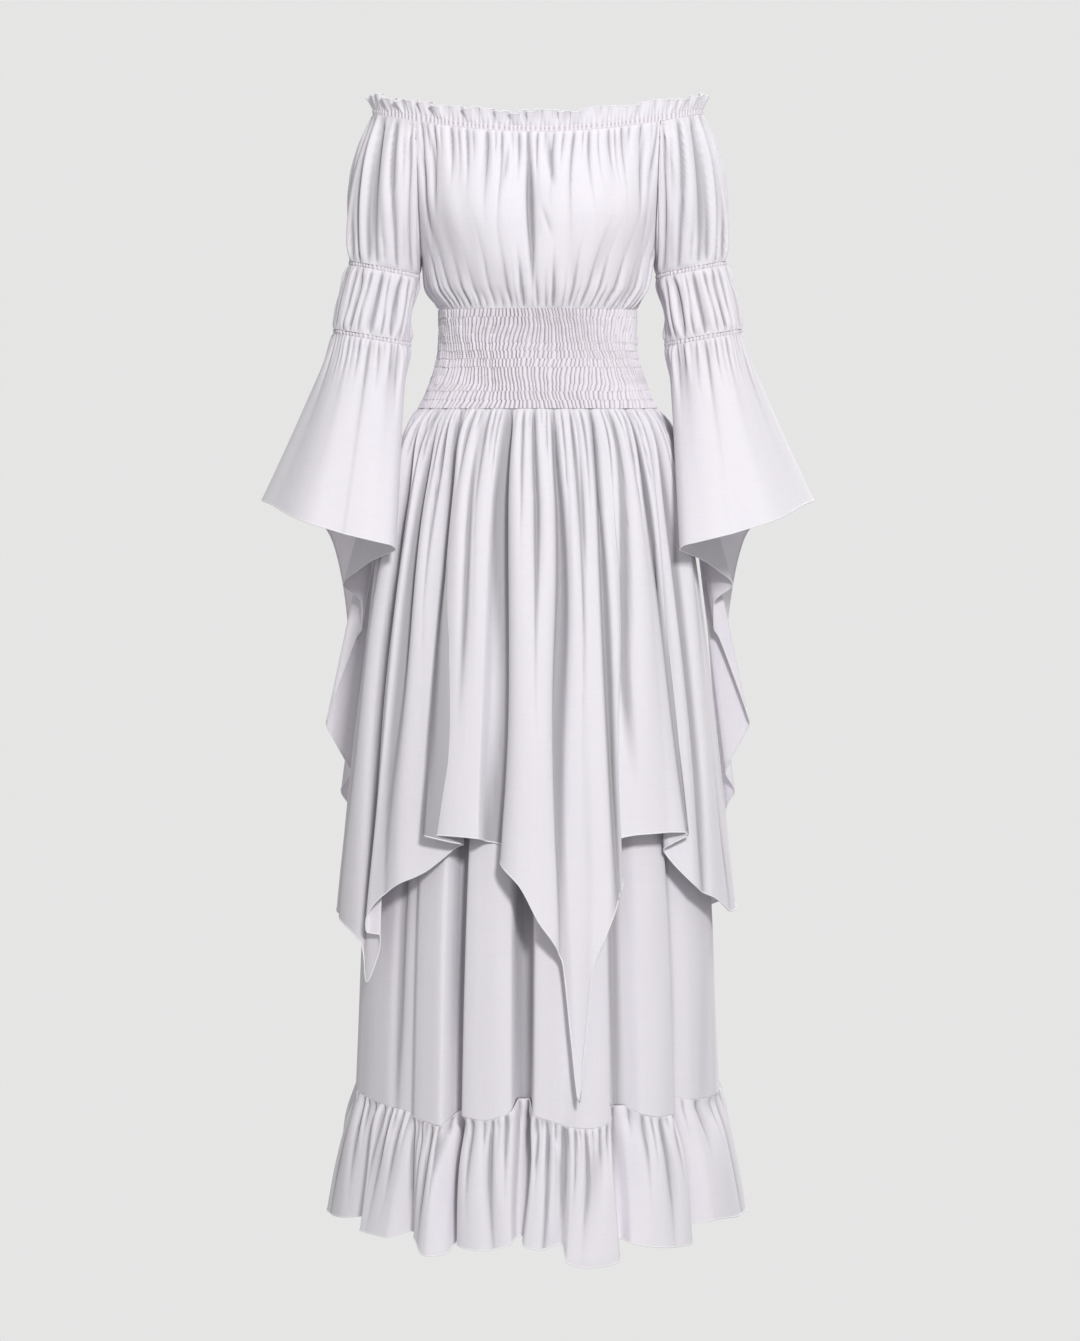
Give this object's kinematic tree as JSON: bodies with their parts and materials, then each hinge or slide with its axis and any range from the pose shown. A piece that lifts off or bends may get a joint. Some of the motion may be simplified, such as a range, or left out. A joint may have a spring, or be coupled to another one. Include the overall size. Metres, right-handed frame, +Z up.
{
  "type": "maxi dress",
  "caption": "Off-shoulder maxi dress with a frilled neck, puffed sleeves ending in trailing bells, a smocked waist, a pointed overskirt and a gathered foot flounce",
  "frame": {"origin": "the centre of the smocked waist at its narrowest ring, where the wearer holds it", "axes": "+Z runs up the dress, its longest way; +X is towards the wearer's left sleeve; the front faces -Y"},
  "size_m": [0.6358, 0.4794, 1.3048],
  "materials": {
    "cloth": "pale lilac crinkled cotton gauze, matte",
    "shirring": "the same gauze, closely shirred over elastic"
  },
  "bodies": {
    "root": {"neck_casing": "shirring", "neck_frill": "cloth", "bodice_front": "cloth", "bodice_back": "cloth", "upper_sleeve_left": "cloth", "upper_sleeve_right": "cloth", "arm_elastic_left": "shirring", "arm_elastic_right": "shirring", "elbow_elastic_left": "shirring", "elbow_elastic_right": "shirring", "lower_puff_left": "cloth", "lower_puff_right": "cloth", "bell_left": "cloth", "bell_right": "cloth", "waist_front": "shirring", "waist_back": "shirring", "overskirt_front": "cloth", "overskirt_back": "cloth", "underskirt_front": "cloth", "underskirt_back": "cloth", "flounce_front": "cloth", "flounce_back": "cloth"}
  },
  "joints": []
}
